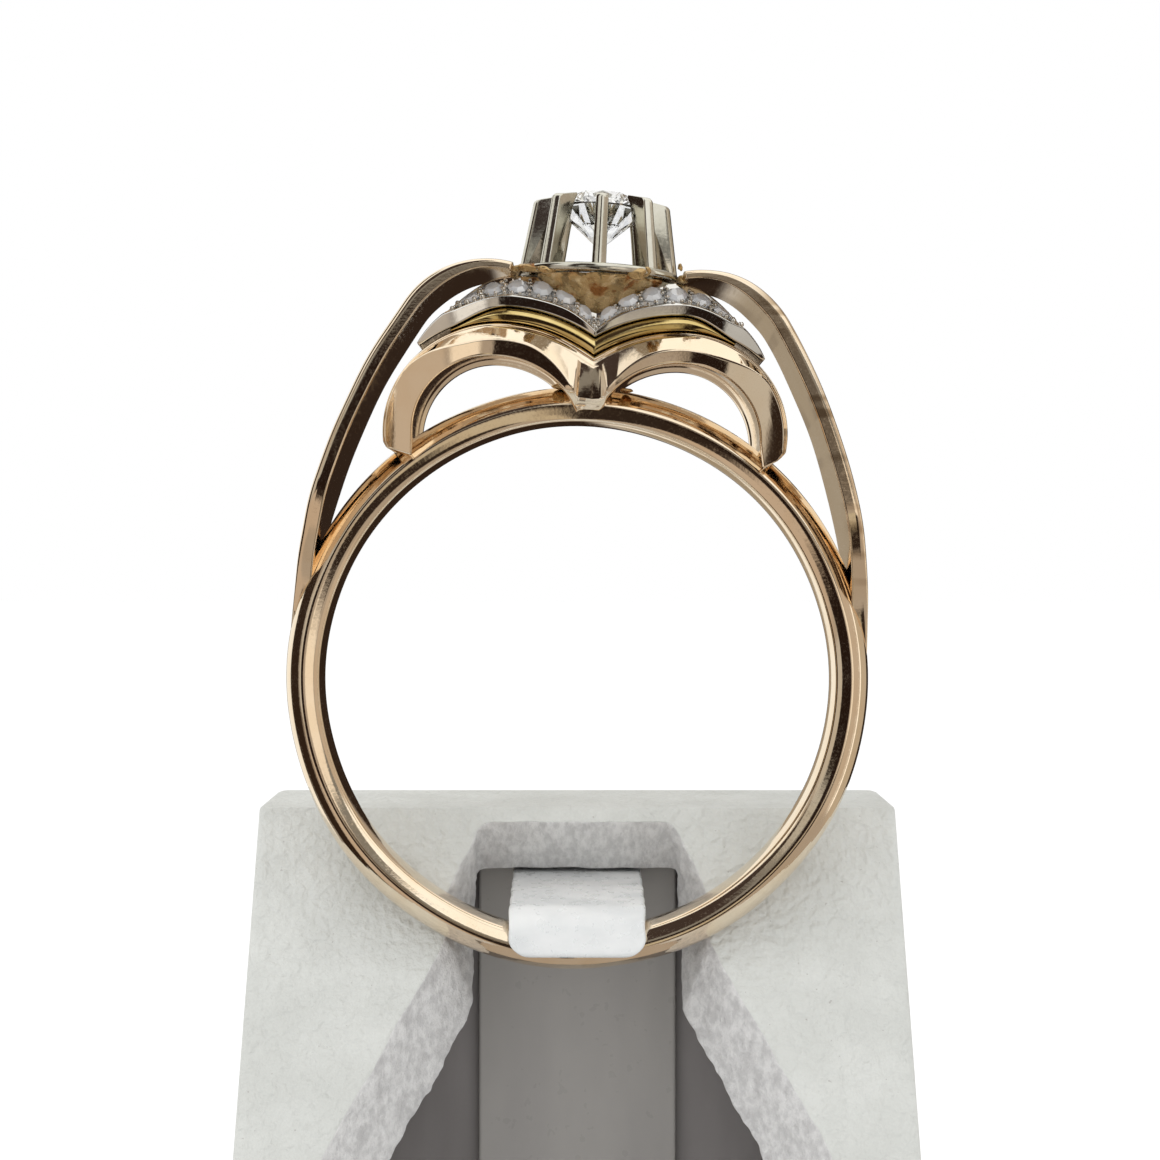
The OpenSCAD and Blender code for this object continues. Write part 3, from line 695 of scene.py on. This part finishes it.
def fin(turn):
    """One prong: its outline in radius and height, built up in layers across its thickness; the layers away
    from the middle step back at the outer edge, so that it has a ridge. A layer is at a share of the half
    thickness, its outline moved in by edge."""
    z = COLLET_Z
    corners = [(2.05, z), (COLLET_R, z), (2.38, 16.53), (2.28, 16.62), (1.7, 16.72), (1.44, 16.77),
               (1.4, 16.67), (STONE_R + 0.03, 16.48), (STONE_R + 0.03, 16.12), (1.72, 15.8)]
    outline = rounded(corners, [0.05, 0.05, 0.06, 0.06, 0.05, 0.03, 0.03, 0.03, 0.1, 0.4], 4)
    edges = (1, 0.04), (0.96, 0.012), (0.88, 0), (0.1, 0)
    layers = []
    for share, edge in [(-share, edge) for share, edge in edges] + list(edges[::-1]):
        ring = inset(outline, edge)
        outer = COLLET_R - 0.17 * (ring[:, 1] - z)
        back = 0.15 * max(abs(share) - 0.1, 0) * ease(outer - 0.3, outer - 0.05, ring[:, 0])
        half = 0.245 - 0.03 * ease(z, 16.5, ring[:, 1])
        layers.append(np.stack([ring[:, 0] - back, share * half, ring[:, 1]], -1))
    grid = np.array(layers)
    c, s = math.cos(turn), math.sin(turn)
    x, y = grid[..., 0], grid[..., 1]
    return tube(in_row(np.stack([x * c - y * s, x * s + y * c, grid[..., 2]], -1)))


def lathe_shell(line, **how):
    """A closed turned ring: both ways of the grid close round."""
    grid = in_row(turned(line, **how))
    return grid.reshape(-1, 3), [quads(*grid.shape[:2], round_rows=True, round_columns=True)]


def collet():
    z = COLLET_Z
    line = rounded([(2.0, z), (2.84, z), (2.83, z + 0.2), (2.72, z + 0.27), (2.04, z + 0.25)], 0.07, 5)
    return [lathe_shell(line, count=96, lumps=0.006, seed=9)] + [
        fin(k * math.pi / 4) for k in range(FINS_ROUND)]


piece("collet_fins", collet(), FINS, ["collet"])


def drop(centre, size, seed):
    """A melted drop: a ball with random relief, flattened to its size."""
    ball = unit_ball(18, 30)
    ball = ball * (1 + 0.22 * ripple(ball, 1.6, seed)[..., None])
    return tube(in_row(ball * size + centre))


piece("solder_drops", [
    drop((-2.3, -1.62, 14.02), (0.42, 0.3, 0.17), 1), drop((-1.75, -2.1, 13.92), (0.3, 0.22, 0.13), 2),
    drop((-2.9, -0.9, 13.98), (0.24, 0.75, 0.16), 6), drop((-2.95, 1.0, 13.98), (0.24, 0.7, 0.16), 7),
    drop((1.3, -2.42, 13.9), (0.3, 0.2, 0.2), 3), drop((1.62, -2.2, 14.02), (0.18, 0.14, 0.16), 4),
    drop((2.9, 0.8, 13.98), (0.22, 0.75, 0.15), 8), drop((2.9, -1.0, 13.96), (0.2, 0.5, 0.13), 9),
    drop((2.84, -0.2, 14.5), (0.08, 0.1, 0.12), 5), drop((-1.15, -0.9, 10.08), (0.26, 0.4, 0.1), 10),
    drop((1.2, -0.9, 10.05), (0.24, 0.4, 0.09), 12)], SOLDER)


# ---- Stand ----
def stand_shell():
    """Eight outlines of the moulding, from the middle of the back wall's inside over its inner walls, the
    slot's edge and the front panel to the middle of its outside; the corners between them are eased."""
    half = STAND_W / 2
    front_x = np.array([8.9, 8.9, 8.6, 4.6, 4.6, 3.4])
    front_z = RING_Z + np.array([-26, -18.5, -15.9, -9.27, -7.64, -5.27])
    back_x = np.array([6.9, 6.9, 6.45, 3.7, 3.78, 3.65])
    back_z = RING_Z + np.array([-26, -18.5, -16.5, -11.84, -9.4, -7.14])
    edge_z = np.array([0, 7.5, 10.1, 16.6, 18.6, 21.0])
    inner_z = np.array([0, 7.5, 9.6, 14.2, 16.6, 18.9])

    rising = [40, 16, 52, 14, 26]
    counts = rising + [140] + rising[::-1]

    def run(x, z, cut):
        """Left half upwards, across the top and down the right half, its corners eased, with even points
        between each pair of corners, so that all the outlines pair up row by row."""
        left = np.stack([-np.asarray(x, float), z], -1)
        marks = np.concatenate([left, left[::-1] * (-1, 1)])
        line = rounded(marks, cut, 5, closed=False)
        gone = steps_along(line)
        stops = [gone[np.argmin(np.linalg.norm(line - m, axis=1))] for m in marks]
        stops[0], stops[-1] = 0, gone[-1]
        where = [np.linspace(a, b, n, endpoint=False) for a, b, n in zip(stops, stops[1:], counts)]
        where = np.concatenate(where + [[stops[-1]]])
        return np.stack([np.interp(where, gone, line[:, k]) for k in (0, 1)], -1)

    slot_front = run(front_x, front_z, 0.4)
    slot_back = run(back_x, back_z, 0.4)
    border = run(np.full(6, half), np.append(edge_z[:-1], STAND_TOP - 0.12), 0.15)
    inner_border = run(np.full(6, half - WALL), np.append(inner_z[:-1], STAND_TOP - WALL - 0.35), 0.3)
    rear = run(np.full(6, half), np.append(edge_z[:-1], STAND_TOP), 0.2)
    inner_rear = run(np.full(6, half - WALL), np.append(inner_z[:-1], STAND_TOP - WALL), 0.3)

    def lift(xz, y):
        return np.stack([xz[:, 0], np.broadcast_to(y, len(xz)), xz[:, 1]], -1)

    def on_panel(xz, deep):
        return lift(xz, (xz[:, 1] - LIFT) * PANEL_RUN + deep)

    def ragged(xz, deep, waves):
        """Moves a cut edge out and up by a sum of ripples, each its size, its seed and its height."""
        at = on_panel(xz, deep)
        off = sum(ripple(at, size, seed) * high for size, seed, high in waves)
        return xz + off[:, None] * (np.sign(xz[:, :1]) * (1, 0) + (0, 0.4))

    slot_front = ragged(slot_front, 0, ((0.9, 21, 0.02), (2.4, 22, 0.03)))
    slot_back = ragged(slot_back, 3, ((0.7, 23, 0.025), (1.9, 24, 0.035)))
    middle = lift(rear * (0, 1), BACK_Y)
    inner_middle = lift(inner_rear * (0, 1), BACK_Y - WALL)
    corners = np.array([
        inner_middle, lift(inner_rear, BACK_Y - WALL), on_panel(inner_border, PANEL_DEEP),
        on_panel(slot_back, PANEL_DEEP), on_panel(slot_front, 0), on_panel(border, 0),
        lift(rear, BACK_Y), middle])
    cuts = [0, 0.4, 0.3, 0.1, 0.12, 0.35, 0.3, 0]
    return rounded(corners, cuts, 5, closed=False)


INSIDE_ZONE, SAWN_ZONE, GRAIN_ZONE = 0, 1, 2


def stand_grid():
    """Fills the long faces of the eased cut lines with more points, so that relief can follow. The rows come
    seven to a corner: the sawn edge ends at row 22, the front panel at 29 and the sides at 36."""
    line = stand_shell()
    spacing, elsewhere = {22: 0.14, 29: 0.5, 36: 0.7}, 1.5
    inside_ends, sawn_ends = 18, 25
    parts, tags = [line[0]], []
    for k in range(1, len(line)):
        gap = np.linalg.norm(line[k] - line[k - 1], axis=-1).mean()
        more = max(1, int(round(gap / spacing.get(k, elsewhere))))
        zone = INSIDE_ZONE if k <= inside_ends else SAWN_ZONE if k <= sawn_ends else GRAIN_ZONE
        for j in range(1, more + 1):
            parts.append(line[k - 1] + (line[k] - line[k - 1]) * j / more)
            tags.append(zone)
    return np.array(parts), np.array(tags)


def stand_piece():
    """The moulding with a rough relief on its sawn edge, strongest half way across it."""
    grid, zones = stand_grid()
    columns = grid.transpose(1, 0, 2)
    rough = np.zeros(columns.shape[:2])
    cut = np.concatenate([[False], zones == SAWN_ZONE])
    rough[:, cut] = (ripple(columns[:, cut], 0.5, 31) * 0.05 + ripple(columns[:, cut], 1.3, 32) * 0.05
                     + ripple(columns[:, cut] * (1, 0.3, 0.6), 0.25, 33) * 0.02)
    fade = np.concatenate([[0], np.cumsum(cut[1:])]) / max(cut.sum(), 1)
    rough *= (4 * fade * (1 - fade)) ** 0.5
    outwards = np.sign(columns[..., :1] + 1e-6) ** np.array([1, 0, 0])
    columns = columns + rough[..., None] * (0.7, -0.5, 0.3) * outwards
    columns[0, :, 2] = columns[-1, :, 2] = 0
    rows, across = columns.shape[:2]
    faces = quads(rows, across, round_columns=False)
    tags = np.tile(zones, rows - 1)
    half = np.arange(across)
    caps = [half[None, ::-1], (rows - 1) * across + half[None]]
    made = piece("stand_moulding", [(on_stand(columns.reshape(-1, 3)), [faces, *caps])],
                 [SHADED_INSIDE, TORN, GRAIN], ["stand"], tags=np.append(tags, [GRAIN_ZONE] * 2))
    work = bmesh.new()
    work.from_mesh(made.data)
    bmesh.ops.remove_doubles(work, verts=work.verts, dist=1e-7)
    bmesh.ops.dissolve_degenerate(work, edges=work.edges, dist=1e-7)
    work.to_mesh(made.data)
    work.free()


stand_piece()


# ---- Clip ----
def clip_tongue():
    """Frosted tongue: a flat section with rounded edges, carried forwards over the shank and curled down; its
    width draws in round the corners of the curled end."""
    low = RING_Z - math.sqrt(BORE_R ** 2 - TONGUE_HALF ** 2) + 0.06
    bends = [(5.72, low + 1.1), (-1.25, low + 0.28), (-1.42, low - 1.12)]
    path = rounded(bends, [0, 0.5, 0], 14, closed=False)
    gone = steps_along(path)
    closing = gone[-1] - 1 + np.sin(np.linspace(0, np.pi / 2, 16))[1:]
    stops = np.concatenate([np.linspace(0, gone[-1] - 1.0, 44), closing])
    path = np.stack([np.interp(stops, gone, path[:, k]) for k in (0, 1)], -1)
    aim = np.gradient(path, axis=0)
    aim /= np.linalg.norm(aim, axis=1, keepdims=True)
    normal = np.stack([-aim[:, 1], aim[:, 0]], -1)
    left = np.clip((stops[-1] - stops) / 0.7, 0, 1)
    half = TONGUE_HALF - 0.7 * (1 - np.sqrt(1 - (1 - left) ** 2))
    half = half * (1 + 0.006 * np.sin(stops * 5))
    flat = np.array([[-1, -0.25], [1, -0.25], [1, 0.25], [-1, 0.25]])
    section = rounded(flat * (TONGUE_HALF, 1), 0.14, 5) / (TONGUE_HALF, 1)
    across, thick = section[:, 0], section[:, 1]
    end = np.sqrt(np.clip(1 - (1 - np.clip((stops[-1] - stops) / 0.2, 0, 1)) ** 2, 0.02, 1))
    yz = path[:, None] + normal[:, None] * (thick * end[:, None])[..., None]
    grid = np.stack([across * half[:, None], yz[..., 0], yz[..., 1]], -1)
    grid = grid + ripple(grid, 1.4, 41)[..., None] * (0.012, 0.012, 0.012)
    return tube(on_stand(grid))


def clip_strip():
    """Strip down the back wall, grey as painted shade: a thin slab with eased edges."""
    z = np.linspace(1.0, 19.0, 60)
    front, back = 5.47, 5.97
    corners = [(-STRIP_HALF, front), (STRIP_HALF, front), (STRIP_HALF, back), (-STRIP_HALF, back)]
    section = rounded(corners, 0.12, 4)
    grid = np.stack(np.broadcast_arrays(section[:, 0], section[:, 1], z[:, None]), -1)
    return tube(on_stand(grid))


piece("clip_tongue", [clip_tongue()], FROST, ["clip"])
piece("clip_strip", [clip_strip()], SHADED_STRIP, ["clip"])

# ---- Stones keep their solids ----
for name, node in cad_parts.items():
    if "diamond" in name:
        node.data.materials.clear()
        node.data.materials.append(DIAMOND if name == "centre_diamond" else SMALL)


# ---- Floor, light and camera ----
def floor():
    mesh = bpy.data.meshes.new("floor")
    s = 3.0
    mesh.from_pydata([(-s, -s, 0), (s, -s, 0), (s, s, 0), (-s, s, 0)], [], [(0, 1, 2, 3)])
    f = Finish("pale_floor", Roughness=0.9, Specular_IOR_Level=0.0)
    f.feed("Base Color", f.mixed(f.noise(40, 3.0), (0.975, 0.975, 0.975), (0.985, 0.985, 0.985)))
    mesh.materials.append(f.material)
    made = bpy.data.objects.new("floor", mesh)
    bpy.context.scene.collection.objects.link(made)
    made.visible_glossy = False


def studio_air():
    """Surroundings, even and white for matt surfaces. Mirror-like ones see a room by azimuth, from the front
    towards +X, and elevation: each row is west, east, low and high in degrees, softness and colour."""
    world = bpy.data.worlds.new("studio")
    bpy.context.scene.world = world
    f = Nodes(world, "Generated")
    xyz = [f.node("ShaderNodeSeparateXYZ", None, {"Vector": f.place}, k) for k in range(3)]
    azimuth = f.node("ShaderNodeMath", {"operation": "ARCTAN2"}, {0: xyz[0], 1: xyz[1] * -1.0})
    height = f.node("ShaderNodeMath", {"operation": "ARCSINE"}, {0: xyz[2]})

    def over(value, degrees, soft):
        return f.between(value, math.radians(degrees - soft), math.radians(degrees + soft))

    dark, pale = (0.03, 0.018, 0.012), (1.0, 0.98, 0.92)
    room = f.mixed(over(height, 44, 14), (0.42, 0.36, 0.30), (1.2, 1.19, 1.14))
    for west, east, low, high, soft, shade in (
            (-176, -114, -35, 60, 4, pale),                     # pale wall, behind on the left
            (-114, -72, -50, 62, 4, dark),                      # dark shape at the left
            (-72, -40, 24, 75, 4, pale),                        # window, high at the left
            (-200, -177, -40, 14, 2, dark),                     # dark shapes behind
            (136, 200, -40, 16, 3, dark),
            (-176, -158, -30, 14, 2, (0.36, 0.30, 0.22)),
            (100, 136, -30, 30, 4, (0.52, 0.44, 0.34)),         # tan wall at the right
            (91, 100, -30, 30, 2, (1.2, 1.15, 1.05)),
            (45, 91, -30, 24, 3, (0.55, 0.46, 0.37)),
            (48, 80, 24, 62, 4, (1.15, 1.12, 1.02)),            # window at the upper right
            (11, 30, -48, -9, 3, (0.03, 0.02, 0.015)),          # dark shapes, low in front
            (1.5, 13, -80, -9, 2, (0.55, 0.48, 0.36)),
            (14, 40, -9, 14, 3, (0.95, 0.86, 0.74)),            # pale patch, front right
            (-72, -13, -48, -13, 3, (0.55, 0.45, 0.36)),
            (-16, 1.5, -80, -9, 2, (0.03, 0.02, 0.015)),
            (-40, -0.6, 7, 62, 3, (0.05, 0.035, 0.03)),         # large dark shape, front left
            (-34, 1.5, -13, 7.5, 1.5, (0.018, 0.010, 0.007)),
            (-3, -0.6, 17, 34, 1, (0.9, 0.88, 0.84)),
            (-0.6, 46, 16, 44, 1.5, (1.15, 1.13, 1.08)),        # lamp, high in front
            (-72, -32, -9, 16, 2, (0.55, 0.51, 0.45)),
            (-32, -18, 6.5, 16, 1.5, (0.50, 0.48, 0.43)),
            (-18, 46, 7.5, 16, 1, (0.24, 0.23, 0.21)),
            (2.5, 13, 1.5, 7.5, 1, (0.13, 0.11, 0.09))):
        there = (over(azimuth, west, soft) * (1 - over(azimuth, east, soft))
                 * over(height, low, soft) * (1 - over(height, high, soft)))
        room = f.mixed(there, room, shade)

    def ray(kind):
        return f.node("ShaderNodeLightPath", out=f"Is {kind} Ray")

    colour = f.mixed(ray("Glossy"), (1.06, 1.06, 1.06), room)
    colour = f.mixed(ray("Transmission"), colour, f.mixed(0.5, room, (1.1, 1.1, 1.1)))
    colour = f.mixed(ray("Camera"), colour, (1.0, 1.0, 1.0))
    light = f.node("ShaderNodeBackground", None, {"Color": colour})
    f.node("ShaderNodeOutputWorld", None, {"Surface": light}, None)


def soft_light(name, place, size, watts):
    """A square soft box that faces the ring, not seen by the camera."""
    data = bpy.data.lights.new(name, "AREA")
    data.shape, data.size, data.energy = "SQUARE", size, watts
    lamp = bpy.data.objects.new(name, data)
    bpy.context.scene.collection.objects.link(lamp)
    lamp.location = place
    lamp.rotation_euler = (Vector((0, 0, 0.025)) - Vector(place)).to_track_quat("-Z", "Y").to_euler()
    lamp.visible_camera = lamp.visible_glossy = False


def camera():
    data = bpy.data.cameras.new("camera")
    data.sensor_width = SENSOR
    data.lens = SENSOR * CAMERA_AWAY / SEEN_WIDTH
    data.clip_start = 0.002
    made = bpy.data.objects.new("camera", data)
    bpy.context.scene.collection.objects.link(made)
    made.location = (0.0001, -0.07915, 0.02943)
    made.rotation_euler = (math.pi / 2, 0, 0)
    bpy.context.scene.camera = made


floor()
studio_air()
soft_light("overhead_box", (-0.05, -0.03, 0.30), 0.2, 0.08)
soft_light("left_box", (-0.24, -0.10, 0.17), 0.14, 0.06)
camera()
bpy.context.scene.view_settings.view_transform = "Standard"
